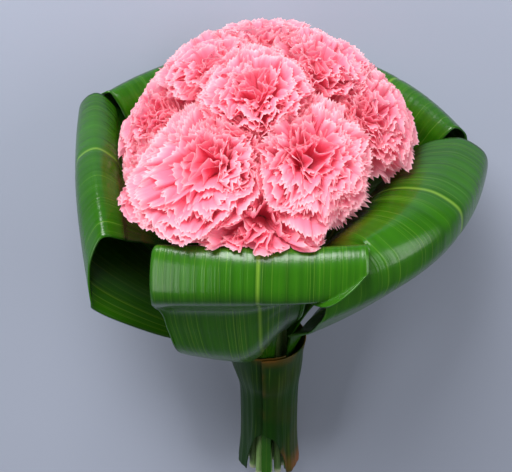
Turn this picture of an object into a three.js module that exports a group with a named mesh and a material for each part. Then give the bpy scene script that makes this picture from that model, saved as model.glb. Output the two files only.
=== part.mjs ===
// A hand-tied posy of carnations in a collar of looped leaves, lying on its back.
// Millimetres, +Z up. It is drawn standing about its tie point and laid down at the end.
import * as THREE from "three";
import { mergeVertices } from "three/addons/utils/BufferGeometryUtils.js";

// Flower dome
const DOME_CENTRE = 127;
const DOME_RADIUS = 84;
const BLOOM_WIDTH = 37;
const BLOOM_RISE = 20;
const BLOOM_BACK = 15;
const BLOOM_GAP = 0.4;
const AXIS_UPRIGHT = 0.8;

// The cone that the lowest petals keep inside, where the leaves cradle them
const CONE_SLOPE = 0.62;
const CONE_START = -2.1;

// Above the right leaf, which reaches in further, petals keep above a sloping plane
const SLOPE_FACING = -26;
const SLOPE_START = 62;
const SLOPE_HEIGHT = 136;
const SLOPE_RATE = 1.6;

// Calyx and stems
const CALYX_TOP = 15.5;
const CALYX_LENGTH = 22;
const STEM_RADIUS = 2.4;
const STEM_END = -104;

// Collar leaves
const LEAF_THICKNESS = 1.2;
const STALK_THICKNESS = 2.4;
const STALK_RADIUS = 13.3;
const LEAF_STEPS = 32;
const LEAF_HALF_STEPS = 4;

// Handle
const TWINE_RADIUS = 16.05;
const TWINE_CORD = 0.8;
const WRAP_THICKNESS = 1.0;
const WRAP_TURN = 1.1;
const WRAP_FLARE = 5;

// Lying pose
const LIE_ANGLE = THREE.MathUtils.degToRad(19);
const FLOOR_OFFSET = 49.9;
const PAD_ROUNDING = 2.0;

const group = new THREE.Group();
group.name = "carnation_bouquet";
const rad = THREE.MathUtils.degToRad;

// A direction from its compass angle and its angle from upright.
function direction(azimuth, polar) {
  const a = rad(azimuth);
  const p = rad(polar);
  return new THREE.Vector3(Math.sin(p) * Math.cos(a), Math.sin(p) * Math.sin(a), Math.cos(p));
}

function material(colour, roughness) {
  return new THREE.MeshStandardMaterial({ color: colour, roughness: roughness, metalness: 0 });
}

function addMesh(name, geometry, colour, roughness) {
  geometry.deleteAttribute("normal");
  geometry.deleteAttribute("uv");
  const closed = mergeVertices(geometry, 1e-4);
  closed.computeVertexNormals();
  const mesh = new THREE.Mesh(closed, material(colour, roughness));
  mesh.name = name;
  group.add(mesh);
  return mesh;
}

function indexed(points, faces) {
  const geometry = new THREE.BufferGeometry();
  geometry.setAttribute("position", new THREE.Float32BufferAttribute(points.flatMap((p) => [p.x, p.y, p.z]), 3));
  geometry.setIndex(faces);
  return geometry;
}

// Turns a grid of mid-surface points into a closed skin of the given half thickness.
function skin(rows, halfThickness) {
  const m = rows.length;
  const n = rows[0].length;
  const outer = [];
  const inner = [];
  for (let i = 0; i < m; i++) {
    for (let j = 0; j < n; j++) {
      const along = rows[Math.min(i + 1, m - 1)][j].clone().sub(rows[Math.max(i - 1, 0)][j]);
      const across = rows[i][Math.min(j + 1, n - 1)].clone().sub(rows[i][Math.max(j - 1, 0)]);
      const normal = across.cross(along).normalize().multiplyScalar(halfThickness(i, j));
      outer.push(rows[i][j].clone().add(normal));
      inner.push(rows[i][j].clone().sub(normal));
    }
  }
  const faces = [];
  const quad = (a, b, c, d) => faces.push(a, b, c, a, c, d);
  const top = (i, j) => i * n + j;
  const low = (i, j) => m * n + i * n + j;
  for (let i = 0; i < m - 1; i++) {
    for (let j = 0; j < n - 1; j++) {
      quad(top(i, j), top(i, j + 1), top(i + 1, j + 1), top(i + 1, j));
      quad(low(i, j), low(i + 1, j), low(i + 1, j + 1), low(i, j + 1));
    }
    quad(top(i, 0), top(i + 1, 0), low(i + 1, 0), low(i, 0));
    quad(top(i, n - 1), low(i, n - 1), low(i + 1, n - 1), top(i + 1, n - 1));
  }
  for (let j = 0; j < n - 1; j++) {
    quad(top(0, j), low(0, j), low(0, j + 1), top(0, j + 1));
    quad(top(m - 1, j), top(m - 1, j + 1), low(m - 1, j + 1), low(m - 1, j));
  }
  return indexed(outer.concat(inner), faces);
}

// Carnations: compass angle, angle from upright, and the stem's place in the bundle
const FLOWERS = [
  { az: 252, pol: 20, slot: [3.2, 270] },
  { az: 168, pol: 27, slot: [3.2, 150] },
  { az: 99, pol: 24, slot: [8.9, 94] },
  { az: 8, pol: 22, slot: [3.2, 30] },
  { az: 238, pol: 56, slot: [8.9, 238] },
  { az: 293, pol: 52, slot: [8.9, 310] },
  { az: 350, pol: 52, slot: [8.9, 346] },
  { az: 178, pol: 62, slot: [8.9, 166] },
  { az: 265, pol: 80, slot: [8.9, 274] },
  { az: 208, pol: 78, slot: [8.9, 202] },
  { az: 38, pol: 60, slot: [8.9, 22] },
  { az: 74, pol: 62, slot: [8.9, 58] },
  { az: 128, pol: 62, slot: [8.9, 130] },
];
const top = new THREE.Vector3(0, 0, DOME_CENTRE);
const centres = FLOWERS.map((f) => direction(f.az, f.pol).multiplyScalar(DOME_RADIUS - BLOOM_RISE).add(top));

function insideCell(point, own) {
  if (point.distanceTo(top) > DOME_RADIUS) {
    return false;
  }
  if (Math.hypot(point.x, point.y) > CONE_SLOPE * point.z + CONE_START) {
    return false;
  }
  const reach = point.dot(direction(SLOPE_FACING, 90));
  if (reach > SLOPE_START + SLOPE_RATE * (point.z - SLOPE_HEIGHT)) {
    return false;
  }
  return centres.every((c, k) => {
    if (k === own) {
      return true;
    }
    const between = c.clone().sub(centres[own]);
    const half = between.length() / 2 - BLOOM_GAP / 2;
    return point.clone().sub(centres[own]).dot(between.normalize()) < half;
  });
}

// A ruffled head, pressed against its neighbours.
function bloomGeometry(index, axis) {
  const columns = 18;
  const rings = [18, 36, 54, 70, 86, 100, 120, 148];
  const side = new THREE.Vector3(0, 0, 1).cross(axis).normalize();
  const up = axis.clone().cross(side);
  const points = [];
  const reach = (turn, angle) => {
    const across = Math.sin(rad(angle));
    const forward = Math.cos(rad(angle));
    const depth = forward > 0 ? BLOOM_RISE : BLOOM_BACK;
    const ruffle = 1 + 0.05 * across * Math.sin(5 * turn + index);
    const full = ruffle / Math.hypot(across / BLOOM_WIDTH, forward / depth);
    const ray = axis.clone().multiplyScalar(forward);
    ray.addScaledVector(side, across * Math.cos(turn)).addScaledVector(up, across * Math.sin(turn));
    let low = 0;
    let high = full;
    for (let step = 0; step < 18; step++) {
      const middle = (low + high) / 2;
      const inside = insideCell(centres[index].clone().addScaledVector(ray, middle), index);
      low = inside ? middle : low;
      high = inside ? high : middle;
    }
    return centres[index].clone().addScaledVector(ray, low);
  };
  points.push(reach(0, 0));
  for (const angle of rings) {
    for (let k = 0; k < columns; k++) {
      points.push(reach((k / columns) * 2 * Math.PI, angle));
    }
  }
  points.push(reach(0, 180));
  const faces = [];
  const at = (ring, k) => 1 + ring * columns + (k % columns);
  const last = points.length - 1;
  for (let k = 0; k < columns; k++) {
    faces.push(0, at(0, k), at(0, k + 1));
    for (let ring = 0; ring < rings.length - 1; ring++) {
      faces.push(at(ring, k), at(ring + 1, k), at(ring + 1, k + 1));
      faces.push(at(ring, k), at(ring + 1, k + 1), at(ring, k + 1));
    }
    faces.push(last, at(rings.length - 1, k + 1), at(rings.length - 1, k));
  }
  return indexed(points, faces);
}

// The green cup behind the petals, turned about its own axis.
function calyxGeometry(base, axis) {
  const profile = [
    [0, 0],
    [3.0, 0],
    [4.2, 3],
    [5.2, 11],
    [6.0, CALYX_LENGTH - 2],
    [6.0, CALYX_LENGTH],
    [0, CALYX_LENGTH],
  ].map(([r, h]) => new THREE.Vector2(r, h));
  const geometry = new THREE.LatheGeometry(profile, 8);
  const turn = new THREE.Quaternion().setFromUnitVectors(new THREE.Vector3(0, 1, 0), axis);
  geometry.applyQuaternion(turn);
  geometry.translate(base.x, base.y, base.z);
  return geometry;
}

// A stem: straight in the bundle, splayed a little at its cut end, then curving out to its calyx.
function stemGeometry(slot, base, axis, extra) {
  const a = rad(slot[1]);
  const place = (spread, z) => new THREE.Vector3(spread * slot[0] * Math.cos(a), spread * slot[0] * Math.sin(a), z);
  const foot = place(1.12, STEM_END + extra);
  const waist = place(1, -40);
  const neck = place(1, 6);
  const curve = new THREE.CurvePath();
  curve.add(new THREE.CubicBezierCurve3(foot, place(1.05, -80), place(1, -62), waist));
  curve.add(new THREE.LineCurve3(waist, neck));
  const tip = base.clone().addScaledVector(axis, -0.4);
  const reach = tip.distanceTo(neck);
  const rise = neck.clone().add(new THREE.Vector3(0, 0, reach * 0.4));
  curve.add(new THREE.CubicBezierCurve3(neck, rise, tip.clone().addScaledVector(axis, -reach * 0.18), tip));
  const outline = new THREE.Shape();
  for (let k = 0; k < 7; k++) {
    const t = (k / 7) * 2 * Math.PI;
    const x = STEM_RADIUS * Math.cos(t);
    const y = STEM_RADIUS * Math.sin(t);
    k === 0 ? outline.moveTo(x, y) : outline.lineTo(x, y);
  }
  return new THREE.ExtrudeGeometry(outline, { steps: 13, extrudePath: curve, bevelEnabled: false });
}

FLOWERS.forEach((flower, index) => {
  const number = String(index + 1).padStart(2, "0");
  const axis = direction(flower.az, flower.pol * AXIS_UPRIGHT);
  const base = centres[index].clone().addScaledVector(axis, -(CALYX_TOP + CALYX_LENGTH));
  addMesh("bloom_" + number, bloomGeometry(index, axis), 0xf07a92, 0.8);
  addMesh("calyx_" + number, calyxGeometry(base, axis), 0x5f8f45, 0.6);
  addMesh("stem_" + number, stemGeometry(flower.slot, base, axis, (index * 5) % 4), 0x4f8038, 0.6);
});

// The radius that the leaves keep outside, next to the petals
function cradle(z) {
  const cone = CONE_SLOPE * z + CONE_START;
  const rise = Math.min(Math.abs(z - DOME_CENTRE), DOME_RADIUS);
  return Math.min(cone, Math.sqrt(DOME_RADIUS ** 2 - rise ** 2)) + 2.4;
}

// Stations along a leaf. It leaves the bundle, opens into a bowl, folds over the rim and
// dives in beside the petals. Columns: radius, height, half width, how far the edges bow
// inwards, how far an end may sag under the bowl, how far it may droop at the rim, and
// how far a crease pushes the rim out over the bowl.
function leafStations({ rim, high, half, fold, dive }) {
  const low = high - fold;
  const tuck = dive || [7, 17, 33, 50, 66].map((drop) => [cradle(high - drop), high - drop]);
  return [
    [STALK_RADIUS + 1.3, -100, 3.0, 0, 0, 0, 0],
    [STALK_RADIUS + 0.3, -62, 3.0, 0, 0, 0, 0],
    [STALK_RADIUS + 0.2, -26, 3.0, 0, 0, 0, 0],
    [STALK_RADIUS + 0.9, -6, 3.2, 0, 0, 0, 0],
    [0.22 * rim + 4, 0.22 * low + 4, 0.26 * half, 1, 13, 0, 1],
    [0.46 * rim + 5, 0.46 * low + 3, 0.56 * half, 4, 21, 0, 1],
    [0.74 * rim + 3, 0.76 * low, 0.84 * half, 5, 25, 0, 0],
    [0.92 * rim + 2, 0.95 * low, 0.96 * half, 6, 20, 10, -9],
    [rim - 1, low + 3, half, 6, 8, 23, -9],
    [rim + 1.5, low + 0.4 * fold, half, 6, 0, 27, 5],
    [rim - 1, low + 0.8 * fold, half, 6, 0, 23, 4],
    [(rim + tuck[0][0]) / 2, high, 0.98 * half, 5, 0, 15, 1],
    [tuck[0][0] + 1, tuck[0][1], 0.93 * half, 2.5, 0, 12, 0],
    [tuck[1][0], tuck[1][1], 0.84 * half, 1, 0, 8, 0],
    [tuck[2][0], tuck[2][1], 0.66 * half, 0.5, 0, 3, 0],
    [tuck[3][0], tuck[3][1], 0.44 * half, 0, 0, 0, 0],
    [tuck[4][0], tuck[4][1], 0.12 * half, 0, 0, 0, 0],
  ];
}

function blend(a, b, c, d, t) {
  const first = 2 * b + (c - a) * t;
  const second = (2 * a - 5 * b + 4 * c - d) * t * t;
  return 0.5 * (first + second + (3 * b - a - 3 * c + d) * t * t * t);
}

function smooth(stations, place) {
  const i = Math.min(Math.floor(place), stations.length - 2);
  const pick = (k) => stations[Math.min(Math.max(k, 0), stations.length - 1)];
  return pick(i).map((_, n) => blend(pick(i - 1)[n], pick(i)[n], pick(i + 1)[n], pick(i + 2)[n], place - i));
}

// Presses the leaf against the surface that the bouquet lies on.
function press(point) {
  const slope = [Math.cos(LIE_ANGLE), Math.sin(LIE_ANGLE)];
  const height = FLOOR_OFFSET - LEAF_THICKNESS / 2 - point.y * slope[0] + point.z * slope[1];
  let lifted = height;
  if (height < -PAD_ROUNDING) {
    lifted = 0;
  } else if (height < PAD_ROUNDING) {
    lifted = (height + PAD_ROUNDING) ** 2 / (4 * PAD_ROUNDING);
  }
  point.y -= (lifted - height) * slope[0];
  point.z += (lifted - height) * slope[1];
  return point;
}

// Each leaf faces out at an angle and keeps inside its own sector. Pairs are its two sides.
// The seam between the front and the right leaf leans to the left towards its lower end.
const SEAM_LEAN = 17;
const LEAVES = [
  { name: "front", out: -93.5, from: -125.5, to: -61, lean: [0, 1], rim: 101, high: 146, half: 56, fold: 40,
    wide: [1, 1], bow: [1, 1], belly: [0, -0.5], sag: 1, droop: [0.4, -0.1], spread: 0.9, crease: 1 },
  { name: "right", out: -29, from: -61, to: 8, lean: [1, 0], rim: 115, high: 148, half: 58, fold: 28,
    wide: [1.35, 1], bow: [6, 1.5], belly: [0.45, 0.2], sag: 0, droop: [0.6, 0.15], spread: 1.6, crease: 0,
    dive: [[86, 146.5], [74, 141], [63, 131], [53, 115], [46, 99]] },
  { name: "back_right", out: 41, from: 8, to: 81, lean: [0, 0], rim: 105, high: 148, half: 57, fold: 27,
    wide: [1, 1], bow: [1, 1.9], belly: [0.3, 0.2], sag: 0, droop: [0.15, 0.1], spread: 2, crease: 0 },
  { name: "back_left", out: 122, from: 81, to: 151, lean: [0, 0], rim: 106, high: 148, half: 57, fold: 28,
    wide: [1, 1], bow: [2.4, 1], belly: [0.2, 0.2], sag: 0, droop: [0.1, 0.1], spread: 2, crease: 0 },
  { name: "left", out: 184.5, from: 151, to: 234.5, lean: [0, 0], rim: 106, high: 148, half: 58, fold: 28,
    wide: [1, 1.05], bow: [0, -0.6], belly: [0.2, 1.1], sag: 0, droop: [0.1, 1.1], spread: 1.8, crease: 0 },
];

// One point of a leaf, from its station values and its place v across the width, -1 to 1
function leafPoint(leaf, station, v) {
  const [radius, height, half, bow, belly, droop, crease] = station;
  const end = v < 0 ? 0 : 1;
  const edge = Math.abs(v) ** leaf.spread;
  const drop = leaf.droop[end] * droop * v * v;
  const r = radius + crease * leaf.crease - leaf.bow[end] * bow * v * v - 0.3 * drop;
  const aside = half * v * (1 + ((leaf.wide[end] - 1) * half) / 60);
  const span = Math.hypot(r, aside);
  const slump = leaf.sag * THREE.MathUtils.smoothstep(-v, -0.4, 0.3);
  const up = height - drop - (leaf.belly[end] * edge + slump) * belly;
  const lean = SEAM_LEAN * (1 - THREE.MathUtils.smoothstep(up, 114, 146));
  const spare = THREE.MathUtils.radToDeg(0.5 / span);
  const from = leaf.from - leaf.lean[0] * lean + spare * (1 + 0.8 * leaf.lean[0]);
  const to = leaf.to - leaf.lean[1] * lean - spare * (1 + 0.8 * leaf.lean[1]);
  const turned = leaf.out + THREE.MathUtils.radToDeg(Math.atan2(aside, r));
  const point = direction(Math.min(Math.max(turned, from), to), 90).multiplyScalar(span);
  point.z = up;
  return press(point);
}

LEAVES.forEach((leaf) => {
  const stations = leafStations(leaf);
  const rows = [];
  for (let i = 0; i <= LEAF_STEPS; i++) {
    const station = smooth(stations, (i / LEAF_STEPS) * (stations.length - 1));
    const row = [];
    for (let j = -LEAF_HALF_STEPS; j <= LEAF_HALF_STEPS; j++) {
      row.push(leafPoint(leaf, station, j / LEAF_HALF_STEPS));
    }
    rows.push(row);
  }
  const half = (i) => {
    const place = (i / LEAF_STEPS) * (stations.length - 1);
    const blade = Math.max(0, Math.min(1, (place - 2.5) / 2));
    return THREE.MathUtils.lerp(STALK_THICKNESS, LEAF_THICKNESS, blade) / 2;
  };
  addMesh("collar_leaf_" + leaf.name, skin(rows, half), 0x2f7a25, 0.35);
});

// Twine: three turns pulled tight round the bundle, hidden under the wrap
const twine = [];
for (let k = 0; k < 3; k++) {
  for (const t of [-60, 0, 60]) {
    const height = -18 + 1.5 * k + TWINE_CORD * Math.sin(rad(t));
    twine.push(new THREE.Vector2(TWINE_RADIUS + TWINE_CORD * Math.cos(rad(t)), height));
  }
}
twine.sort((p, q) => p.y - q.y);
const bottom = twine[0].y - 0.1;
const upper = twine[twine.length - 1].y + 0.1;
const ridges = twine.filter((p) => p.x > TWINE_RADIUS);
const band = [
  new THREE.Vector2(TWINE_RADIUS - TWINE_CORD, bottom),
  ...ridges,
  new THREE.Vector2(TWINE_RADIUS - TWINE_CORD, upper),
  new THREE.Vector2(TWINE_RADIUS - TWINE_CORD, bottom),
];
addMesh("binding_twine", new THREE.LatheGeometry(band, 24).rotateX(Math.PI / 2), 0xb89b6a, 0.9);

// Wrap leaf: a strip wound once and a bit round the handle, its lower edge arching up in front
const WRAP = [
  [5, 20.6],
  [-6, 19.0],
  [-18, 18.3],
  [-34, 16.4],
  [-56, 15.9],
  [-78, 16.2],
  [-97, 17.6],
];
const wrapRows = [];
for (let i = 0; i <= 8; i++) {
  const row = [];
  for (let j = 0; j <= 30; j++) {
    const turn = j / 30;
    const azimuth = 300 - 400 * turn;
    const fromFront = Math.abs(((azimuth + 96 + 540) % 360) - 180);
    const arch = 36 * Math.max(0, 1 - (fromFront / 42) ** 2) ** 0.7;
    const [z, r] = smooth(WRAP, (i / 8) * (WRAP.length - 1));
    const height = z + (arch / 73) * Math.max(0, -z - 24);
    const a = rad(azimuth);
    const flare = WRAP_FLARE * Math.max(0, Math.cos(a - Math.PI)) * THREE.MathUtils.smoothstep(height, -34, 5);
    const radius = r + flare + WRAP_THICKNESS / 2 + WRAP_TURN * 2 * turn * (turn > 0.8 ? 1 : turn / 0.8);
    row.push(new THREE.Vector3(radius * Math.cos(a), radius * Math.sin(a), height));
  }
  wrapRows.push(row);
}
addMesh("handle_wrap_leaf", skin(wrapRows, () => WRAP_THICKNESS / 2), 0x1f5a1c, 0.4);

// Lay the bouquet on its back and put the origin under its middle
const cosLie = Math.cos(LIE_ANGLE);
const sinLie = Math.sin(LIE_ANGLE);
const laid = new THREE.Matrix4().set(1, 0, 0, 0, 0, sinLie, cosLie, 0, 0, -cosLie, sinLie, 0, 0, 0, 0, 1);
const box = new THREE.Box3();
for (const mesh of group.children) {
  mesh.geometry.applyMatrix4(laid);
  mesh.geometry.computeBoundingBox();
  box.union(mesh.geometry.boundingBox);
}
const middle = box.getCenter(new THREE.Vector3());
for (const mesh of group.children) {
  mesh.geometry.translate(-middle.x, -middle.y, -box.min.z);
}

export default group;
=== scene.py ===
# %% [markdown]
# # A hand-tied posy of carnations
#
# This lesson builds a small round bouquet lying on a table: thirteen ruffled
# carnations, a collar of five broad leaves folded into loops, and a short handle
# of stems wrapped in one more leaf. Every number below is in millimetres on a
# bouquet standing on its tie point, and one function lays each point down.

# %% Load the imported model
import math
import bpy
import numpy as np
from mathutils import Matrix, Vector


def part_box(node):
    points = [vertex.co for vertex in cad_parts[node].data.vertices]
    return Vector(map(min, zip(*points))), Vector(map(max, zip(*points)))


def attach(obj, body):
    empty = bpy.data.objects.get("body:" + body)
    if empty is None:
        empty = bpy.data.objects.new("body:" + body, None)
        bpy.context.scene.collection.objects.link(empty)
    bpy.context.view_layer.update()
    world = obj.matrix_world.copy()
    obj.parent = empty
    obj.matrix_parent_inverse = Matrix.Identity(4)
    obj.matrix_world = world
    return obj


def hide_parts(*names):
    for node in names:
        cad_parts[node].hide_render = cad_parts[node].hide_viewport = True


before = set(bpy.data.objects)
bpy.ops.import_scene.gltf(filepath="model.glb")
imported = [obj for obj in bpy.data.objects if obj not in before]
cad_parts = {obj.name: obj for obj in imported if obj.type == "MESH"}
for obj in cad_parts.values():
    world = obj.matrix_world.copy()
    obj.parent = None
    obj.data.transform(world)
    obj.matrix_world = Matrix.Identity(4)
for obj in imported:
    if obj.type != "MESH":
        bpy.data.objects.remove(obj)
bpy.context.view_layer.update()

print("nodes in the model:", len(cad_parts))

# %% [markdown]
# ## The lying pose
#
# The bouquet rests on its back leaves and on the end of its handle, so its axis
# rises 19 degrees from the table. The binding twine is a ring about that axis, a
# little below the tie point, so the middle of its box tells where the axis is.

# %% From bouquet millimetres to table metres
LIE = math.radians(19)
AXIS = np.array([0, math.cos(LIE), math.sin(LIE)])
BACK = np.array([0, math.sin(LIE), -math.cos(LIE)])
SIDE = np.array([1.0, 0, 0])
twine_low, twine_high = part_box("binding_twine")
ring = (np.array(twine_low) + np.array(twine_high)) / 2
TIE_POINT = ring + AXIS * 0.0165


def lay(points):
    """Turns bouquet points (right, back, up) in millimetres into table metres."""
    points = np.asarray(points, float) / 1000
    return (
        TIE_POINT
        + points[..., 0:1] * SIDE
        + points[..., 1:2] * BACK
        + points[..., 2:3] * AXIS
    )


print("tie point in metres:", TIE_POINT.round(4))

# %% [markdown]
# ## Camera, floor and light
#
# The camera looks at the flowers from above, between the handle and the dome. The
# light is one soft panel over the flowers and two narrow ones at the sides, which
# draw long shines on the glossy leaves. A single bare lamp would be simpler, but
# its shadows between the petals would be black. The floor is plain pale paint.

# %% Camera
EYE_ANGLE = math.radians(38)
EYE_DISTANCE = 950
LENS_MM = 117.2
AIM = np.array([-7.4, -14.8 * math.sin(EYE_ANGLE), 100 - 14.8 * math.cos(EYE_ANGLE)])
towards_eye = np.array([0, -math.cos(EYE_ANGLE), math.sin(EYE_ANGLE)])


def look_at(thing, spot, target, upward):
    """Turns a camera or a light at spot so that it faces target."""
    back = (Vector(spot) - Vector(target)).normalized()
    right = Vector(upward).cross(back).normalized()
    over = back.cross(right)
    turn = Matrix((right, over, back)).transposed().to_4x4()
    thing.matrix_world = Matrix.Translation(spot) @ turn


camera = bpy.data.objects.new("camera", bpy.data.cameras.new("camera"))
bpy.context.collection.objects.link(camera)
camera.data.sensor_width = 36
camera.data.lens = LENS_MM
camera.data.clip_end = 20
look_at(camera, lay(AIM + towards_eye * EYE_DISTANCE), lay(AIM), AXIS)
bpy.context.scene.camera = camera
bpy.context.scene.view_settings.view_transform = "Standard"
print("camera at", [round(c, 3) for c in camera.matrix_world.translation])

# %% Floor


def plain_material(name, colour, roughness):
    material = bpy.data.materials.new(name)
    material.use_nodes = True
    shader = material.node_tree.nodes["Principled BSDF"]
    shader.inputs["Base Color"].default_value = (*colour, 1)
    shader.inputs["Roughness"].default_value = roughness
    return material


floor_mesh = bpy.data.meshes.new("floor")
reach = 3.0
floor_mesh.from_pydata(
    [(-reach, -reach, 0), (reach, -reach, 0), (reach, reach, 0), (-reach, reach, 0)],
    [],
    [(0, 1, 2, 3)],
)
floor = bpy.data.objects.new("floor", floor_mesh)
bpy.context.collection.objects.link(floor)
floor_mesh.materials.append(plain_material("floor_paint", (0.26, 0.285, 0.355), 0.9))

# %% Lights


def soft_panel(name, spot, target, size, power, colour=(1, 1, 1)):
    panel = bpy.data.lights.new(name, "AREA")
    panel.shape = "RECTANGLE"
    panel.size, panel.size_y = size
    panel.energy = power
    panel.color = colour
    lamp = bpy.data.objects.new(name, panel)
    bpy.context.collection.objects.link(lamp)
    look_at(lamp, spot, target, AXIS)
    return lamp


heart = lay([0, 0, 130])
soft_panel("key_panel", lay([-260, -330, 1050]), heart, (0.7, 0.45), 19)
soft_panel("side_panel", lay([700, -500, 420]), heart, (0.35, 0.9), 5)
soft_panel("fill_panel", lay([-760, -700, 150]), heart, (0.3, 0.9), 4)
world = bpy.data.worlds.new("studio")
world.use_nodes = True
world.node_tree.nodes["Background"].inputs["Color"].default_value = (0.90, 0.93, 1.0, 1)
world.node_tree.nodes["Background"].inputs["Strength"].default_value = 0.17
bpy.context.scene.world = world

# %% [markdown]
# ## Helpers for grids
#
# Almost everything in a bouquet is a sheet that bends: a petal, a leaf, the skin
# of a stem. Each is made as a grid of points, rows by columns, and joined by
# four-sided faces. The grid also gives each point its texture place, across and
# along, so that veins and streaks follow the sheet however it bends.

# %% Grid to mesh


def grid_faces(rows, columns, first=0, closed=False):
    """Faces of one grid whose points are numbered row by row from first."""
    i, j = np.meshgrid(np.arange(rows - 1), np.arange(columns - (not closed)), indexing="ij")
    k = (j + 1) % columns
    here, above = i * columns, (i + 1) * columns
    quads = np.stack([here + j, here + k, above + k, above + j], -1)
    return quads.reshape(-1, 4) + first


def sheet_piece(name, points, faces, places, material, stands_for):
    """A smooth piece from points, faces and texture places, riding on the bouquet."""
    mesh = bpy.data.meshes.new(name)
    mesh.from_pydata(np.asarray(points).tolist(), [], [list(map(int, f)) for f in faces])
    mesh.polygons.foreach_set("use_smooth", [True] * len(mesh.polygons))
    layer = mesh.uv_layers.new(name="sheet")
    corners = np.empty(len(mesh.loops), int)
    mesh.loops.foreach_get("vertex_index", corners)
    layer.data.foreach_set("uv", np.asarray(places, float)[corners].ravel())
    mesh.materials.append(material)
    mesh.update()
    piece = bpy.data.objects.new(name, mesh)
    bpy.context.collection.objects.link(piece)
    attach(piece, "root")
    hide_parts(*stands_for)
    return piece


def smoothstep(x, low=0.0, high=1.0):
    t = np.clip((np.asarray(x, float) - low) / (high - low), 0, 1)
    return t * t * (3 - 2 * t)


def unit(v):
    v = np.asarray(v, float)
    return v / np.maximum(np.linalg.norm(v, axis=-1, keepdims=True), 1e-9)


def direction(azimuth, polar):
    a, p = math.radians(azimuth), math.radians(polar)
    return np.array([math.sin(p) * math.cos(a), math.sin(p) * math.sin(a), math.cos(p)])


# %% [markdown]
# ## Materials as small node groups
#
# Two effects are shared by several materials, so each is a node group with
# named inputs: stripes that follow a sheet (the veins of a leaf, the streaks of
# a petal) and soft mottling of a colour. A texture on each material would do the
# same, but a group keeps one recipe in one place. The groups only make colours
# and values; the shader itself stays in each material.

# %% Node group helpers


def new_group(name, inputs, outputs):
    group = bpy.data.node_groups.new(name, "ShaderNodeTree")
    for label, kind, value in inputs:
        socket = group.interface.new_socket(label, in_out="INPUT", socket_type=kind)
        if value is not None:
            socket.default_value = value
    for label, kind in outputs:
        group.interface.new_socket(label, in_out="OUTPUT", socket_type=kind)
    return group, group.nodes.new("NodeGroupInput"), group.nodes.new("NodeGroupOutput")


def add_node(tree, kind, links=(), **settings):
    """Adds a node, sets its properties, and links or sets its inputs."""
    node = tree.nodes.new(kind)
    for key, value in settings.items():
        setattr(node, key, value)
    for socket, source in links:
        if hasattr(source, "is_output"):
            tree.links.new(source, node.inputs[socket])
        else:
            node.inputs[socket].default_value = source
    return node


def mix_colour(tree, factor, first, second, blend="MIX"):
    node = add_node(tree, "ShaderNodeMix", data_type="RGBA", blend_type=blend)
    for socket, source in ((0, factor), (6, first), (7, second)):
        if hasattr(source, "is_output"):
            tree.links.new(source, node.inputs[socket])
        else:
            node.inputs[socket].default_value = source
    return node.outputs[2]


def math_node(tree, operation, first, second=0.0, clamp=False):
    node = add_node(tree, "ShaderNodeMath", [(0, first), (1, second)], operation=operation)
    node.use_clamp = clamp
    return node.outputs[0]


def ramp(tree, factor, stops):
    node = add_node(tree, "ShaderNodeValToRGB", [(0, factor)])
    while len(node.color_ramp.elements) < len(stops):
        node.color_ramp.elements.new(0.5)
    for element, (position, colour) in zip(node.color_ramp.elements, stops):
        element.position = position
        element.color = (*colour, 1) if len(colour) == 3 else colour
    return node.outputs["Color"]


# %% Shared effects
DEFAULTS = (("Count", 30.0), ("Stretch", 2.0), ("Seed", 0.0))
streaks, s_in, s_out = new_group(
    "sheet streaks",
    [(label, "NodeSocketFloat", value) for label, value in DEFAULTS],
    [(label, "NodeSocketFloat") for label in ("Fine", "Broad", "Across", "Along", "Number")],
)
uv = add_node(streaks, "ShaderNodeUVMap", uv_map="sheet")
split = add_node(streaks, "ShaderNodeSeparateXYZ", [("Vector", uv.outputs["UV"])])
across = math_node(streaks, "FRACT", split.outputs["X"])
number = math_node(streaks, "FLOOR", split.outputs["X"])
wide = math_node(streaks, "MULTIPLY", across, s_in.outputs["Count"])
long = math_node(streaks, "MULTIPLY", split.outputs["Y"], s_in.outputs["Stretch"])
sown = math_node(streaks, "ADD", number, s_in.outputs["Seed"])
spot = add_node(streaks, "ShaderNodeCombineXYZ", [("X", wide), ("Y", long), ("Z", sown)])
spread = ("Vector", spot.outputs[0])
fine = add_node(streaks, "ShaderNodeTexNoise", [spread, ("Scale", 1.0), ("Detail", 2.0)])
broad = add_node(streaks, "ShaderNodeTexNoise", [spread, ("Scale", 0.22), ("Detail", 1.0)])
for label, source in (("Fine", fine.outputs["Fac"]), ("Broad", broad.outputs["Fac"]), ("Across", across),
                      ("Along", split.outputs["Y"]), ("Number", number)):
    streaks.links.new(source, s_out.inputs[label])

mottle, m_in, m_out = new_group(
    "mottle",
    [("Colour", "NodeSocketColor", (0.5, 0.5, 0.5, 1)), ("Other", "NodeSocketColor", (0.4, 0.4, 0.4, 1)),
     ("Scale", "NodeSocketFloat", 30.0), ("Amount", "NodeSocketFloat", 0.5)],
    [("Colour", "NodeSocketColor"), ("Value", "NodeSocketFloat")],
)
position = add_node(mottle, "ShaderNodeTexCoord")
cloud = add_node(
    mottle, "ShaderNodeTexNoise",
    [("Vector", position.outputs["Object"]), ("Scale", m_in.outputs["Scale"]), ("Detail", 4.0)],
)
strength = math_node(mottle, "MULTIPLY", cloud.outputs["Fac"], m_in.outputs["Amount"], clamp=True)
mixed = mix_colour(mottle, strength, m_in.outputs["Colour"], m_in.outputs["Other"])
mottle.links.new(mixed, m_out.inputs["Colour"])
mottle.links.new(cloud.outputs["Fac"], m_out.inputs["Value"])


def use_group(tree, group, **values):
    node = tree.nodes.new("ShaderNodeGroup")
    node.node_tree = group
    for label, value in values.items():
        if hasattr(value, "is_output"):
            tree.links.new(value, node.inputs[label])
        else:
            node.inputs[label].default_value = value
    return node


def bump(tree, height, strength, distance):
    links = [("Height", height), ("Strength", strength), ("Distance", distance)]
    return add_node(tree, "ShaderNodeBump", links).outputs["Normal"]


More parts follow.
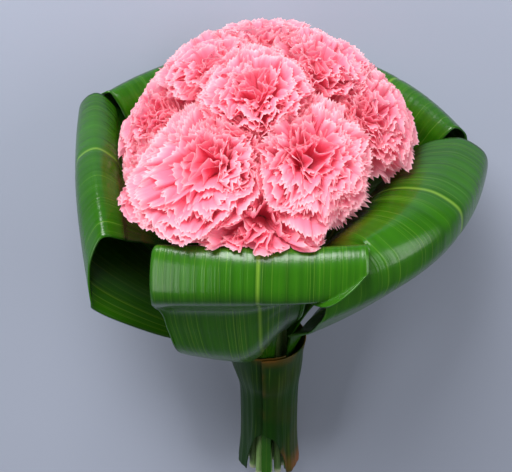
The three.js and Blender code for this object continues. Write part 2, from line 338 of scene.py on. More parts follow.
def scaled(tree, value, amount):
    """A mask or a height made weaker."""
    return math_node(tree, "MULTIPLY", value, amount)


def with_glow(tree, shader, colour, share):
    """Mixes some translucency into a thin sheet, so that light comes through it."""
    glow = add_node(tree, "ShaderNodeBsdfTranslucent", [("Color", colour)])
    links = [(0, share), (1, shader.outputs[0]), (2, glow.outputs[0])]
    both = add_node(tree, "ShaderNodeMixShader", links)
    tree.links.new(both.outputs[0], tree.nodes["Material Output"].inputs["Surface"])


def start_material(name, roughness, specular=0.5):
    material = bpy.data.materials.new(name)
    material.use_nodes = True
    tree = material.node_tree
    shader = tree.nodes["Principled BSDF"]
    shader.inputs["Roughness"].default_value = roughness
    shader.inputs["Specular IOR Level"].default_value = specular
    return material, tree, shader


# %% [markdown]
# ## Petal material
#
# A carnation petal is deep pink where it leaves the calyx and almost white at its
# toothed edge. It is thin, so some light comes through it: a translucent shader is
# mixed with the main one. A little emission stands in for the light that bounces
# about between the petals, which would need many more bounces to come by itself.

# %% Petals
PETAL, tree, shader = start_material("petal", 0.62, 0.25)
sheet = use_group(tree, streaks, Count=34.0, Stretch=2.4, Seed=3.0)
tone = ramp(tree, sheet.outputs["Along"], [
    (0.0, (0.70, 0.08, 0.10)),
    (0.40, (0.90, 0.07, 0.17)),
    (0.68, (0.94, 0.15, 0.27)),
    (0.88, (0.94, 0.29, 0.42)),
    (0.96, (0.96, 0.45, 0.54)),
    (1.0, (1.0, 0.74, 0.78)),
])
each = add_node(tree, "ShaderNodeTexWhiteNoise", [("W", sheet.outputs["Number"])], noise_dimensions="1D")
varied = mix_colour(tree, scaled(tree, each.outputs["Value"], 0.22), tone, (0.97, 0.52, 0.61, 1))
streaked = mix_colour(tree, scaled(tree, sheet.outputs["Fine"], 0.28), varied, (0.86, 0.13, 0.24, 1))
tree.links.new(streaked, shader.inputs["Base Color"])
tree.links.new(bump(tree, sheet.outputs["Fine"], 0.35, 0.0006), shader.inputs["Normal"])
shader.inputs["Sheen Weight"].default_value = 0.15
tree.links.new(streaked, shader.inputs["Emission Color"])
shader.inputs["Emission Strength"].default_value = 0.07
with_glow(tree, shader, streaked, 0.48)
print("petal nodes:", len(tree.nodes))

# %% [markdown]
# ## Leaf materials
#
# The collar leaves are glossy and ribbed: fine parallel veins run from the stalk
# to the tip, with a pale midrib and a thin pale edge. The wrap leaf is the same
# kind of leaf, older and darker, with torn brown edges.

# %% Leaves


def mask(tree, value, *stops):
    """A grey ramp: pairs of a position and a brightness."""
    return ramp(tree, value, [(position, (grey, grey, grey)) for position, grey in stops])


def leaf_colour(tree, sheet, dark, bright, vein):
    """Cloudy green with parallel veins, a pale midrib and a pale edge."""
    cloudy = use_group(tree, mottle, Colour=(*dark, 1), Other=(*bright, 1), Scale=16.0, Amount=1.0)
    lines = mask(tree, sheet.outputs["Fine"], (0.0, 0), (0.58, 0), (0.70, 1), (1.0, 1))
    broad = scaled(tree, sheet.outputs["Broad"], 0.95)
    bands = mix_colour(tree, broad, cloudy.outputs["Colour"], (*dark, 1))
    veined = mix_colour(tree, scaled(tree, lines, 0.26), bands, (*vein, 1))
    offset = math_node(tree, "SUBTRACT", sheet.outputs["Across"], 0.5)
    from_rib = math_node(tree, "ABSOLUTE", offset)
    rib = mask(tree, from_rib, (0.0, 1), (0.004, 0.7), (0.012, 0))
    edge = mask(tree, from_rib, (0.0, 0), (0.488, 0), (0.4995, 1))
    ribbed = mix_colour(tree, scaled(tree, rib, 0.42), veined, (*vein, 1))
    return mix_colour(tree, scaled(tree, edge, 0.7), ribbed, (*vein, 1)), from_rib


def dry_patches(tree, sheet, from_rib, ends, dry_edge):
    """Where the leaf has gone brown: in patches, near its ends and along its edges."""
    rusty = use_group(tree, mottle, Colour=(0, 0, 0, 1), Other=(1, 1, 1, 1), Scale=24.0, Amount=1.0)
    worn = mask(tree, rusty.outputs["Value"], (0.0, 0), (0.52, 0), (0.72, 1))
    near = mask(tree, sheet.outputs["Along"], *ends)
    border = mask(tree, from_rib, (0.0, 0), (0.46, 0), (0.49, 1))
    dry = math_node(tree, "MAXIMUM", near, scaled(tree, border, dry_edge))
    return math_node(tree, "MULTIPLY", worn, dry)


# %% Leaf and wrap leaf
DRY_BROWN = (0.24, 0.08, 0.015, 1)
THROUGH_GREEN = (0.25, 0.5, 0.01, 1)


def leaf_material(name, dark, bright, vein, roughness, shine, dry_edge, ends):
    material, tree, shader = start_material(name, roughness, 0.15 + shine)
    sheet = use_group(tree, streaks, Count=170.0, Stretch=1.6, Seed=9.0)
    green, from_rib = leaf_colour(tree, sheet, dark, bright, vein)
    final = mix_colour(tree, dry_patches(tree, sheet, from_rib, ends, dry_edge), green, DRY_BROWN)
    tree.links.new(final, shader.inputs["Base Color"])
    height = math_node(tree, "ADD", scaled(tree, sheet.outputs["Fine"], 0.6), sheet.outputs["Broad"])
    tree.links.new(bump(tree, height, 0.42, 0.0009), shader.inputs["Normal"])
    shader.inputs["Coat Weight"].default_value = shine
    shader.inputs["Coat Roughness"].default_value = 0.18
    with_glow(tree, shader, mix_colour(tree, 0.5, final, THROUGH_GREEN), 0.10)
    return material


LEAF = leaf_material(
    "leaf", dark=(0.008, 0.055, 0.001), bright=(0.050, 0.24, 0.003), vein=(0.28, 0.48, 0.05),
    roughness=0.24, shine=0.16, dry_edge=0.0, ends=[(0.0, 0), (0.76, 0), (0.86, 0.6), (1.0, 1)])
WRAP = leaf_material(
    "wrap_leaf", dark=(0.003, 0.020, 0.0006), bright=(0.014, 0.085, 0.002), vein=(0.14, 0.26, 0.03),
    roughness=0.40, shine=0.02, dry_edge=1.0,
    ends=[(0.0, 1), (0.05, 0.5), (0.12, 0.05), (0.86, 0.1), (0.95, 1)])
print("leaf nodes:", len(LEAF.node_tree.nodes), " wrap leaf nodes:", len(WRAP.node_tree.nodes))

# %% [markdown]
# ## Stem, calyx and twine materials
#
# A carnation stem is a dull blue-green with pale streaks, and its cut end is
# paler still. The calyx is the same green, lighter at its lobes. The twine is a
# solid piece of the model that stays as it is and only gets a twisted-fibre
# finish, because it is hidden under the wrap.

# %% Stems, calyxes and twine
STEM, tree, shader = start_material("stem", 0.5, 0.4)
sheet = use_group(tree, streaks, Count=20.0, Stretch=12.0, Seed=5.0)
skin = use_group(
    tree, mottle, Colour=(0.10, 0.24, 0.05, 1), Other=(0.26, 0.42, 0.12, 1), Scale=60.0, Amount=0.9)
streak = scaled(tree, sheet.outputs["Fine"], 0.4)
tint = mix_colour(tree, streak, skin.outputs["Colour"], (0.30, 0.46, 0.18, 1))
cut = mask(tree, sheet.outputs["Along"], (0.0, 1), (0.004, 1), (0.012, 0))
tree.links.new(mix_colour(tree, cut, tint, (0.62, 0.66, 0.42, 1)), shader.inputs["Base Color"])
tree.links.new(bump(tree, sheet.outputs["Fine"], 0.3, 0.0005), shader.inputs["Normal"])

CALYX, tree, shader = start_material("calyx", 0.45, 0.4)
sheet = use_group(tree, streaks, Count=26.0, Stretch=1.5, Seed=7.0)
tone = ramp(tree, sheet.outputs["Along"], [
    (0.0, (0.10, 0.24, 0.06)),
    (0.7, (0.20, 0.38, 0.12)),
    (1.0, (0.42, 0.52, 0.26)),
])
ridged = mix_colour(tree, scaled(tree, sheet.outputs["Fine"], 0.5), tone, (0.10, 0.22, 0.06, 1))
tree.links.new(ridged, shader.inputs["Base Color"])
tree.links.new(bump(tree, sheet.outputs["Fine"], 0.4, 0.0004), shader.inputs["Normal"])

TWINE, tree, shader = start_material("twine", 0.9, 0.2)
place = add_node(tree, "ShaderNodeTexCoord")
strands = add_node(
    tree, "ShaderNodeTexWave",
    [("Vector", place.outputs["Object"]), ("Scale", 420.0), ("Distortion", 2.0), ("Detail", 2.0)],
    bands_direction="DIAGONAL",
)
rope = ramp(tree, strands.outputs["Fac"], [(0.0, (0.28, 0.19, 0.09)), (1.0, (0.60, 0.47, 0.28))])
tree.links.new(rope, shader.inputs["Base Color"])
tree.links.new(bump(tree, strands.outputs["Fac"], 0.8, 0.0006), shader.inputs["Normal"])
twine_node = bpy.data.objects["binding_twine"]
twine_node.data.materials.clear()
twine_node.data.materials.append(TWINE)
print("materials:", [m.name for m in bpy.data.materials])

# %% [markdown]
# ## The flowers' places
#
# Thirteen heads are packed on a dome. Each has a compass angle and an angle from
# upright, and each stem has its own place in the bundle: three in the middle and
# ten round them, in the order of the heads, so that no two stems cross.

# %% Flower table
DOME_CENTRE = np.array([0, 0, 127.0])
DOME_RADIUS = 84.0
HEAD_DEPTH = 20.0
# compass angle, angle from upright, stem radius in the bundle, stem angle
FLOWERS = [
    (252, 20, 3.2, 270), (168, 27, 3.2, 150), (99, 24, 8.9, 94), (8, 22, 3.2, 30),
    (238, 56, 8.9, 238), (293, 52, 8.9, 310), (350, 52, 8.9, 346), (178, 62, 8.9, 166),
    (265, 80, 8.9, 274), (208, 78, 8.9, 202), (38, 60, 8.9, 22), (74, 62, 8.9, 58),
    (128, 62, 8.9, 130),
]
HEART_RADIUS = DOME_RADIUS - HEAD_DEPTH
HEARTS = np.array([DOME_CENTRE + direction(az, pol) * HEART_RADIUS for az, pol, _, _ in FLOWERS])
FACINGS = np.array([direction(az, pol * 0.8) for az, pol, _, _ in FLOWERS])
for number in (1, 6, 9):
    low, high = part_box(f"bloom_{number:02d}")
    middle = (np.array(low) + np.array(high)) / 2
    gap = np.linalg.norm(middle - lay(HEARTS[number - 1]))
    print(f"bloom_{number:02d}: its heart is {gap * 1000:.1f} mm from the middle of its box")

# %% [markdown]
# ## Where a head may spread
#
# In a tight bouquet the heads squeeze each other. The petals are made free and
# then eased back wherever they reach too far: past the plane halfway to the next
# head, past the leaves below, and past the dome on top. The easing is gradual,
# so petals crowd at a limit, as real ones do, and aren't cut off by it.

# %% Limits on the petals
NEIGHBOUR_REACH = 84.0
CUP_SLOPE, CUP_START = 0.62, -2.1
RIGHT_LEAF_FACING = -26
RIGHT_LEAF_START, RIGHT_LEAF_HEIGHT, RIGHT_LEAF_RATE = 62.0, 136.0, 1.6


def eased(reach, start, give):
    """Follows reach up to start, then rises ever more slowly by at most give."""
    return np.where(reach > start, start + give * (1 - np.exp(-(reach - start) / give)), reach)


def widened(points, scale):
    """Scales points away from the bouquet's axis."""
    return points * np.stack([scale, scale, np.ones_like(scale)], -1)


def press_together(points, own, give, dome):
    """Keeps a head's points on its own side of its neighbours and above the leaves."""
    heart = HEARTS[own]
    for other, centre in enumerate(HEARTS):
        length = np.linalg.norm(centre - heart)
        if other == own or length > NEIGHBOUR_REACH:
            continue
        toward = (centre - heart) / length
        over = (points - heart) @ toward - length / 2 - give
        points = points + (eased(over, -6, 11) - over)[..., None] * toward
    radius = np.hypot(points[..., 0], points[..., 1])
    over = radius - (CUP_SLOPE * points[..., 2] + CUP_START)
    inner = (radius + eased(over, -5, 5.5) - over) / np.maximum(radius, 1)
    points = widened(points, np.where(radius > 1, inner, 1))
    toward = direction(RIGHT_LEAF_FACING, 90)
    over = points @ toward - RIGHT_LEAF_START - RIGHT_LEAF_RATE * (points[..., 2] - RIGHT_LEAF_HEIGHT)
    slope = toward - np.array([0, 0, RIGHT_LEAF_RATE])
    points = points + (eased(over, -6, 7) - over)[..., None] * slope / (slope @ slope)
    outward = points - DOME_CENTRE
    far = np.linalg.norm(outward, axis=-1)
    return DOME_CENTRE + outward * (eased(far, dome, 6) / np.maximum(far, 1e-6))[..., None]


# %% Petals over the front rim
SPILL_FACING = 250
SPILL_REACH = 22.0
RIM_TOP = 147.6


def spill(points):
    """Lets the lowest front petals spill over the rim of the front leaf."""
    radius = np.hypot(points[..., 0], points[..., 1])
    facing = points[..., :2] @ direction(SPILL_FACING, 90)[:2] / np.maximum(radius, 1)
    front = smoothstep(facing, 0.68, 0.88)
    level = smoothstep(points[..., 2], 130, 148) * (1 - smoothstep(points[..., 2], 165, 190))
    gain = SPILL_REACH * front * level * smoothstep(radius, 60, 82)
    points = widened(points, (radius + gain) / np.maximum(radius, 1))
    height = points[..., 2]
    lifted = RIM_TOP + 0.12 * np.clip(height - 140, 0, 12)
    over_rim = (radius + gain > 83) & (height < lifted) & (front > 0.02)
    raised = height + (lifted - height) * smoothstep(radius + gain, 80, 86)
    points[..., 2] = np.where(over_rim, raised, height)
    return points


# %% [markdown]
# ## One carnation
#
# Seventy-four petals leave the calyx in a spiral. Each is a narrow claw that
# opens into a fan with a toothed, wavy edge. Inner petals stand up and crumple;
# outer ones lie flat and open. A petal could be one modelled sheet copied many
# times, but then every ruffle would be alike, so each is worked out on its own:
# a bent line from foot to tip, a width along it, and waves that grow to the edge.

# %% Petal shapes
PETALS = 74
COLUMNS = 41
PETAL_ROWS = np.array([0, 0.18, 0.38, 0.56, 0.70, 0.81, 0.90, 0.955, 1.0])
HEAD_RADIUS = 37.0
WIDEST_OPENING = math.radians(96)
GOLDEN_TURN = 2.39996
ACROSS = np.linspace(-1, 1, COLUMNS)
TOOTH = np.where(np.arange(COLUMNS) % 2 == 0, 1.0, 0.0)


def grown(low, high=1.0):
    """How far an effect has set in, row by row from the foot of a petal."""
    return smoothstep(PETAL_ROWS, low, high)[:, None]


def ruffle(rng, share):
    """The waves of one petal: how far each point rises, and how far it slides aside."""
    waves = rng.uniform(1.5, 2.8)
    amplitude = (4.1 - 1.4 * share) * rng.uniform(0.7, 1.15)
    phase = rng.uniform(0, 6.28, 3)
    turned = math.pi * waves * ACROSS + phase[0]
    rise = amplitude * np.sin(turned)
    rise = rise + 0.35 * amplitude * np.sin(math.pi * waves * 2.3 * ACROSS + phase[1])
    rise = rise + 0.5 * np.sin(math.pi * 8 * ACROSS + phase[2])
    slide = 0.25 * amplitude * np.cos(turned)[None, :] * grown(0.5)
    return rise[None, :] * grown(0.35) ** 1.3, slide


def petal_grid(rng, own, k):
    """The points of petal k, counted from the middle of head number own."""
    heart, facing = HEARTS[own], FACINGS[own]
    side = unit(np.cross([0.0, 0.0, 1.0], facing))
    up = np.cross(facing, side)
    share = (k + 0.5) / PETALS
    opening = math.acos(1 - share * (1 - math.cos(WIDEST_OPENING)))
    opening += rng.normal(0, 0.07 + 0.22 * (1 - share) ** 5)
    turn = k * GOLDEN_TURN + rng.normal(0, 0.15)
    out = side * math.cos(turn) + up * math.sin(turn)
    across = np.cross(facing, out)
    wide = (12 + 9 * share) * rng.uniform(0.9, 1.1)
    crown = math.cos(opening) if opening > 1.5 else (1 - math.sin(opening) ** 4) ** 0.25
    tip = heart + facing * HEAD_DEPTH * crown * rng.uniform(0.93, 1.06)
    tip = tip + out * HEAD_RADIUS * math.sin(opening) * rng.uniform(0.92, 1.05)
    foot = heart - facing * 14 + out * (1.5 + 2.5 * share)
    knee = heart + facing * (8 - 16 * share) + out * (3 + 9 * share)
    teeth = TOOTH * rng.uniform(0.25, 1.0, COLUMNS) * rng.uniform(2.2, 3.4)
    along = PETAL_ROWS[:, None] * (1 - 0.26 * ACROSS**2)[None, :]
    along = along + grown(0.86) * (teeth - 0.9)[None, :] / np.linalg.norm(tip - foot)
    a = along[..., None]
    middle = foot * (1 - a) ** 2 + 2 * knee * a * (1 - a) + tip * a**2
    heading = unit(2 * (1 - a) * (knee - foot) + 2 * a * (tip - knee))
    normal = unit(np.cross(np.broadcast_to(across, heading.shape), heading))
    width = 1.0 + (wide - 1.0) * smoothstep(along, 0.1, 0.95) ** 0.9
    lift, slide = ruffle(rng, share)
    cup = (2.5 + 5.0 * (1 - share)) * (ACROSS**2)[None, :] * grown(0.2, 0.9)
    grid = middle + across * (ACROSS[None, :, None] * width[..., None] + slide[..., None])
    return grid - normal * (cup - lift)[..., None]


def carnation(own):
    """All the petals of one head: points in bouquet millimetres, faces and places."""
    rng = np.random.default_rng(100 + own)
    rows = len(PETAL_ROWS)
    points, faces, places = [], [], []
    for k in range(PETALS):
        grid = petal_grid(rng, own, k)
        give, dome = rng.uniform(-4, 4), rng.uniform(76, 82)
        points.append(spill(press_together(grid, own, give, dome)).reshape(-1, 3))
        faces.append(grid_faces(rows, COLUMNS, k * rows * COLUMNS))
        place = np.empty((rows, COLUMNS, 2))
        place[..., 0] = k + 0.02 + 0.96 * (ACROSS[None, :] + 1) / 2
        place[..., 1] = PETAL_ROWS[:, None]
        places.append(place.reshape(-1, 2))
    return np.concatenate(points), np.concatenate(faces), np.concatenate(places)


# %% Thirteen carnations
for own in range(len(FLOWERS)):
    points, faces, places = carnation(own)
    name = f"{own + 1:02d}"
    sheet_piece("petals_" + name, lay(points), faces, places, PETAL, ["bloom_" + name])
print("petals per head:", PETALS, " faces per head:", len(faces))

# %% [markdown]
# ## Calyxes and stems
#
# The calyx is a ribbed green cup with five pointed lobes. The stem is straight in
# the bundle, opens a little at its cut end and curves out to the calyx. Both are
# rings of points along a line, joined into a closed tube. A curve with a round
# bevel would do for the stem, but not for its swollen joints or the ribbed cup.

# %% Tubes along a line


def bezier(p, steps):
    t = np.linspace(0, 1, steps)[:, None]
    return p[0] * (1 - t) ** 3 + 3 * p[1] * t * (1 - t) ** 2 + 3 * p[2] * t**2 * (1 - t) + p[3] * t**3


def tube(line, radii, sides):
    """Rings of points round a line of points, turned as little as possible."""
    tangents = unit(np.gradient(line, axis=0))
    first = unit(np.cross(tangents[0], [0.3, 1.0, 0.1]))
    rings = []
    angles = np.linspace(0, 2 * math.pi, sides, endpoint=False)
    for spot, tangent, radius in zip(line, tangents, radii):
        first = unit(first - tangent * (first @ tangent))
        second = np.cross(tangent, first)
        ring = np.outer(np.cos(angles), first) + np.outer(np.sin(angles), second)
        rings.append(spot + ring * np.reshape(radius, (-1, 1)))
    return np.array(rings)


def tube_piece(name, rings, material, node):
    """A closed tube with a flat lid on both ends, from its rings of points."""
    rows, sides = rings.shape[:2]
    faces = [list(f) for f in grid_faces(rows, sides, closed=True)]
    faces.append(list(range(sides))[::-1])
    faces.append([(rows - 1) * sides + k for k in range(sides)])
    across = np.abs(np.linspace(-1, 1, sides, endpoint=False)) * 0.96 + 0.02
    v, w = np.meshgrid(np.linspace(0, 1, rows), across, indexing="ij")
    places = np.stack([w, v], -1).reshape(-1, 2)
    sheet_piece(name, lay(rings.reshape(-1, 3)), faces, places, material, [node])


# %% Stems
STEM_RADIUS = 2.38
STEM_END = -104
HEART_TO_STEM = 37.5
stem_lengths = []


def stem_rings(own, base):
    _, _, bundle, angle = FLOWERS[own]
    rng = np.random.default_rng(300 + own)
    spoke = np.array([math.cos(math.radians(angle)), math.sin(math.radians(angle)), 0]) * bundle

    def in_bundle(spread, height):
        return spoke * spread + np.array([0, 0, height])

    waist, neck = in_bundle(1, -40), in_bundle(1, 6)
    cut = in_bundle(1.12, STEM_END + (own * 5) % 4)
    foot = bezier([cut, in_bundle(1.05, -80), in_bundle(1, -62), waist], 16)
    tip = base - FACINGS[own] * 0.4
    bend = np.linalg.norm(tip - neck)
    upright = neck + np.array([0, 0, bend * 0.4])
    crown = bezier([neck, upright, tip - FACINGS[own] * bend * 0.18, tip], 40)
    line = np.concatenate([foot, np.linspace(waist, neck, 10)[1:], crown[1:]])
    stem_lengths.append(np.linalg.norm(np.diff(line, axis=0), axis=1).sum())
    swell = np.ones(len(line)) * STEM_RADIUS
    here = np.linspace(0, 1, len(line))
    for joint in rng.uniform(0.25, 0.75, 2):
        swell += 0.18 * np.exp(-(((here - joint) / 0.012) ** 2))
    return tube(line, swell, 20)


for own in range(len(FLOWERS)):
    name = f"{own + 1:02d}"
    base = HEARTS[own] - FACINGS[own] * HEART_TO_STEM
    tube_piece("stalk_" + name, stem_rings(own, base), STEM, "stem_" + name)
print("stem lengths in mm:", np.round(stem_lengths).astype(int))

# %% Calyxes
CALYX_HEIGHTS = np.array([0, 0.6, 2, 4, 8, 12, 16, 19, 21, 22.0])
CALYX_RADII = np.array([2.4, 3.0, 3.9, 4.5, 5.1, 5.5, 5.8, 6.0, 6.1, 6.2])
around = np.linspace(0, 2 * math.pi, 40, endpoint=False)
ribs = 1 + 0.025 * np.cos(10 * around)
lobes = 2.2 * (np.abs(np.cos(2.5 * around)) - 0.7)
for own, facing in enumerate(FACINGS):
    name = f"{own + 1:02d}"
    base = HEARTS[own] - facing * HEART_TO_STEM
    rings = tube(base + np.outer(CALYX_HEIGHTS, facing), np.outer(CALYX_RADII, ribs), len(around))
    rings[-1] += lobes[:, None] * facing * 0.8
    tube_piece("cup_" + name, rings, CALYX, "calyx_" + name)
print("calyxes:", len(FACINGS), " faces each:", (len(CALYX_HEIGHTS) - 1) * len(around) + 2)

# %% [markdown]
# ## Collar leaves
#
# Each leaf leaves the bundle as a stalk, opens into a bowl, folds over the rim
# and dives in beside the petals. Its path is a list of stations, each with a
# radius, a height and a half width, joined by a smooth curve. The same stations
# drive the solid model, so the fine leaf lies exactly in its place. The fine leaf
# adds the shallow groove of the midrib, ribs along the veins and a slight wave.
# A cloth simulation could fold a flat leaf, but it would never come out twice
# the same, nor keep clear of the leaf beside it.

# %% Leaf stations
STALK = 13.3


def cradle(z):
    """The radius that the leaves keep outside, next to the petals."""
    rise = min(abs(z - DOME_CENTRE[2]), DOME_RADIUS)
    return min(CUP_SLOPE * z + CUP_START, math.sqrt(DOME_RADIUS**2 - rise**2)) + 2.4


def leaf_stations(rim, high, half, fold, dive):
    """Radius, height, half width, bow, sag under the bowl, droop at the rim, crease."""
    low = high - fold
    tuck = dive or [(cradle(high - drop), high - drop) for drop in (7, 17, 33, 50, 66)]
    return np.array([
        [STALK + 1.3, -100, 3.0, 0, 0, 0, 0],
        [STALK + 0.3, -62, 3.0, 0, 0, 0, 0],
        [STALK + 0.2, -26, 3.0, 0, 0, 0, 0],
        [STALK + 0.9, -6, 3.2, 0, 0, 0, 0],
        [0.22 * rim + 4, 0.22 * low + 4, 0.26 * half, 1, 13, 0, 1],
        [0.46 * rim + 5, 0.46 * low + 3, 0.56 * half, 4, 21, 0, 1],
        [0.74 * rim + 3, 0.76 * low, 0.84 * half, 5, 25, 0, 0],
        [0.92 * rim + 2, 0.95 * low, 0.96 * half, 6, 20, 10, -9],
        [rim - 1, low + 3, half, 6, 8, 23, -9],
        [rim + 1.5, low + 0.4 * fold, half, 6, 0, 27, 5],
        [rim - 1, low + 0.8 * fold, half, 6, 0, 23, 4],
        [(rim + tuck[0][0]) / 2, high, 0.98 * half, 5, 0, 15, 1],
        [tuck[0][0] + 1, tuck[0][1], 0.93 * half, 2.5, 0, 12, 0],
        [tuck[1][0], tuck[1][1], 0.84 * half, 1, 0, 8, 0],
        [tuck[2][0], tuck[2][1], 0.66 * half, 0.5, 0, 3, 0],
        [tuck[3][0], tuck[3][1], 0.44 * half, 0, 0, 0, 0],
        [tuck[4][0], tuck[4][1], 0.12 * half, 0, 0, 0, 0],
    ])


def smooth(stations, places):
    """Points of a smooth curve through the stations at fractional places."""
    places = np.asarray(places, float)
    last = len(stations) - 1
    i = np.clip(places.astype(int), 0, last - 1)
    t = (places - i)[:, None]
    a, b, c, d = (stations[np.clip(i + k, 0, last)] for k in (-1, 0, 1, 2))
    square = (2 * a - 5 * b + 4 * c - d) * t**2
    cube = (3 * b - a - 3 * c + d) * t**3
    return 0.5 * (2 * b + (c - a) * t + square + cube)


FLOOR_OFFSET = 49.9
PAD_ROUNDING = 2.0


def press_flat(points, half_thickness):
    """Flattens the leaf where it lies on the table."""
    slope = np.array([0, math.cos(LIE), -math.sin(LIE)])
    height = FLOOR_OFFSET - half_thickness - points @ slope
    rounded = (height + PAD_ROUNDING) ** 2 / (4 * PAD_ROUNDING)
    lifted = np.where(height < -PAD_ROUNDING, 0, np.where(height < PAD_ROUNDING, rounded, height))
    return points - (lifted - height)[..., None] * slope


# %% Five leaves
# Each leaf faces out at an angle and keeps inside its own sector. Pairs are its two sides.
# The seam between the front and the right leaf leans to the left towards its lower end.
SEAM_LEAN = 17
LEAVES = [
    dict(name="front", out=-93.5, sector=(-125.5, -61), lean=(0, 1), rim=101, high=146, half=56,
         fold=40, wide=(1, 1), bow=(1, 1), belly=(0, -0.5), sag=1, droop=(0.4, -0.1), spread=0.9,
         crease=1, dive=None),
    dict(name="right", out=-29, sector=(-61, 8), lean=(1, 0), rim=115, high=148, half=58,
         fold=28, wide=(1.35, 1), bow=(6, 1.5), belly=(0.45, 0.2), sag=0, droop=(0.6, 0.15),
         spread=1.6, crease=0, dive=[(86, 146.5), (74, 141), (63, 131), (53, 115), (46, 99)]),
    dict(name="back_right", out=41, sector=(8, 81), lean=(0, 0), rim=105, high=148, half=57,
         fold=27, wide=(1, 1), bow=(1, 1.9), belly=(0.3, 0.2), sag=0, droop=(0.15, 0.1), spread=2,
         crease=0, dive=None),
    dict(name="back_left", out=122, sector=(81, 151), lean=(0, 0), rim=106, high=148, half=57,
         fold=28, wide=(1, 1), bow=(2.4, 1), belly=(0.2, 0.2), sag=0, droop=(0.1, 0.1), spread=2,
         crease=0, dive=None),
    dict(name="left", out=184.5, sector=(151, 234.5), lean=(0, 0), rim=106, high=148, half=58,
         fold=28, wide=(1, 1.05), bow=(0, -0.6), belly=(0.2, 1.1), sag=0, droop=(0.1, 1.1),
         spread=1.8, crease=0, dive=None),
]
LENGTH_STEPS = 124
WIDTH_STEPS = 64
STALK_THICKNESS = 2.4
LEAF_THICKNESS = 1.2
FINE_SHARE = 0.8

# %% Leaf surfaces


def closed_skin(grid, half):
    """Both faces and the edge of a sheet of the given half thickness."""
    along = np.gradient(grid, axis=0)
    across = np.gradient(grid, axis=1)
    normal = unit(np.cross(across, along)) * half
    rows, columns = grid.shape[:2]
    count = rows * columns
    outer = grid_faces(rows, columns)
    inner = grid_faces(rows, columns, count)[:, ::-1]
    rim = [i * columns for i in range(rows)]
    rim += [(rows - 1) * columns + j for j in range(1, columns)]
    rim += [i * columns + columns - 1 for i in range(rows - 2, -1, -1)]
    rim += list(range(columns - 2, 0, -1))
    wall = [[a, b, b + count, a + count] for a, b in zip(rim, rim[1:] + rim[:1])]
    points = np.concatenate([(grid + normal).reshape(-1, 3), (grid - normal).reshape(-1, 3)])
    return points, np.concatenate([outer, inner, np.array(wall)])


def leaf_grid(leaf, stations, place, v):
    """The middle surface of a leaf, and where it widens from a stalk into a blade."""
    radius, height, half, bow, belly, droop, crease = smooth(stations, place.ravel()).T[..., None]
    end = np.where(v < 0, 0, 1)

    def side(key):
        return np.array(leaf[key])[end]

    drop = side("droop") * droop * v**2
    r = radius + crease * leaf["crease"] - side("bow") * bow * v**2 - 0.3 * drop
    aside = half * v * (1 + (side("wide") - 1) * half / 60)
    span = np.hypot(r, aside)
    slump = leaf["sag"] * smoothstep(-v, -0.4, 0.3)
    up = height - drop - (side("belly") * np.abs(v) ** leaf["spread"] + slump) * belly
    lean = SEAM_LEAN * (1 - smoothstep(up, 114, 146))
    spare = np.degrees(0.5 / span)
    first, last = leaf["sector"]
    first = first - leaf["lean"][0] * lean + spare * (1 + 0.8 * leaf["lean"][0])
    last = last - leaf["lean"][1] * lean - spare * (1 + 0.8 * leaf["lean"][1])
    turned = leaf["out"] + np.degrees(np.arctan2(aside, r))
    angle = np.radians(np.minimum(np.maximum(turned, first), last))
    return np.stack([span * np.cos(angle), span * np.sin(angle), up], -1), half


def leaf_sheet(index):
    """One fine leaf: points, faces and places."""
    leaf = LEAVES[index]
    stations = leaf_stations(leaf["rim"], leaf["high"], leaf["half"], leaf["fold"], leaf["dive"])
    place = np.linspace(0, len(stations) - 1, LENGTH_STEPS + 1)[:, None]
    v = np.linspace(-1, 1, WIDTH_STEPS + 1)[None, :]
    grid, half = leaf_grid(leaf, stations, place, v)
    blade = np.clip((place - 2.5) / 2, 0, 1)
    half_thick = (STALK_THICKNESS + (LEAF_THICKNESS - STALK_THICKNESS) * blade) / 2
    normal = unit(np.cross(np.gradient(grid, axis=1), np.gradient(grid, axis=0)))
    groove = -0.45 * np.exp(-((v / 0.03) ** 2)) * blade
    ribs = 0.04 * np.sin(v * 75) * blade * smoothstep(half, 10, 40)
    wave = 0.6 * np.sin(place * 1.7 + v * 3 + index) * smoothstep(half, 25, 55) * v**2
    grid = press_flat(grid + normal * (groove + ribs + wave)[..., None], half_thick)
    points, faces = closed_skin(grid, half_thick[..., None] * FINE_SHARE)
    across = np.broadcast_to(0.02 + 0.48 * (v + 1), grid.shape[:2])
    along = np.broadcast_to(place / (len(stations) - 1), grid.shape[:2])
    places = np.stack([across, along], -1).reshape(-1, 2)
    places[:, 0] += index
    return points, faces, np.concatenate([places, places])


# %% Make the leaves
for index, leaf in enumerate(LEAVES):
    points, faces, places = leaf_sheet(index)
    made = lay(points)
    node = "collar_leaf_" + leaf["name"]
    sheet_piece("loop_leaf_" + leaf["name"], made, faces, places, LEAF, [node])
    low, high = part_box(node)
    off = np.abs([made.min(0) - low, made.max(0) - high]).max() * 1000
    print(f"{node}: {off:.1f} mm off its solid at most")

# %% [markdown]
# ## The wrap leaf
#
# One more leaf is wound a turn and a bit round the handle. Its lower edge arches
# up in front, where the cut stems show, and its outer edge is dry and torn. It is
# a sheet too: a profile of height and radius, turned round the axis while the
# radius grows, so that the outer turn lies over the inner one.

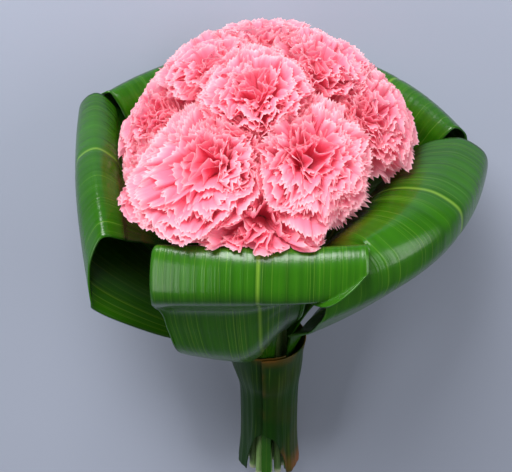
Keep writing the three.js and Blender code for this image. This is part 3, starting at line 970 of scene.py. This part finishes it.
# %% Wrap leaf
WRAP_LINE = np.array(
    [[5, 20.6], [-6, 19.0], [-18, 18.3], [-34, 16.4], [-56, 15.9], [-78, 16.2], [-97, 17.6]], float)
WRAP_START, WRAP_SWEEP = 300, 400
ARCH_FACING, ARCH_RISE, ARCH_HALF_WIDTH = -96, 36, 42
ARCH_TOP = 24
WRAP_FLARE = 5
TURN_GAP = 2.2
TORN_PLACES = 50


def wrap_grid(rows=60, columns=180):
    t = np.linspace(0, 1, rows)[:, None]
    turn = np.linspace(0, 1, columns)[None, :]
    azimuth = WRAP_START - WRAP_SWEEP * turn
    from_front = np.abs(((azimuth - ARCH_FACING + 540) % 360) - 180)
    arch = ARCH_RISE * np.clip(1 - (from_front / ARCH_HALF_WIDTH) ** 2, 0, None) ** 0.7
    z, r = smooth(WRAP_LINE, (t * (len(WRAP_LINE) - 1)).ravel()).T[..., None]
    rng = np.random.default_rng(7)
    tears = rng.normal(0, 0.7, TORN_PLACES)
    torn = np.interp(turn[0], np.linspace(0, 1, TORN_PLACES), tears)
    lowest = -WRAP_LINE[-1, 0] - ARCH_TOP
    height = z + (arch / lowest) * np.clip(-z - ARCH_TOP, 0, None) + torn[None, :] * t**6
    a = np.radians(azimuth)
    flare = WRAP_FLARE * np.clip(-np.cos(a), 0, None) * smoothstep(height, -34, 5)
    radius = r + flare + 0.5 + TURN_GAP * turn * np.where(turn > 0.8, 1, turn / 0.8)
    pleats = 0.22 * np.sin(a * 9 + t * 2) + 0.12 * np.sin(a * 23)
    radius = radius + pleats * smoothstep(t, 0.02, 0.3)
    return np.stack([radius * np.cos(a), radius * np.sin(a), height], -1)


grid = wrap_grid()
points, faces = closed_skin(grid, 0.35)
rows, columns = grid.shape[:2]
along, across = np.meshgrid(np.linspace(0, 1, rows), np.linspace(0.02, 0.98, columns), indexing="ij")
places = np.stack([across, along], -1).reshape(-1, 2)
places = np.concatenate([places, places])
sheet_piece("wrapped_leaf", lay(points), faces, places, WRAP, ["handle_wrap_leaf"])
print("wrap leaf faces:", len(faces))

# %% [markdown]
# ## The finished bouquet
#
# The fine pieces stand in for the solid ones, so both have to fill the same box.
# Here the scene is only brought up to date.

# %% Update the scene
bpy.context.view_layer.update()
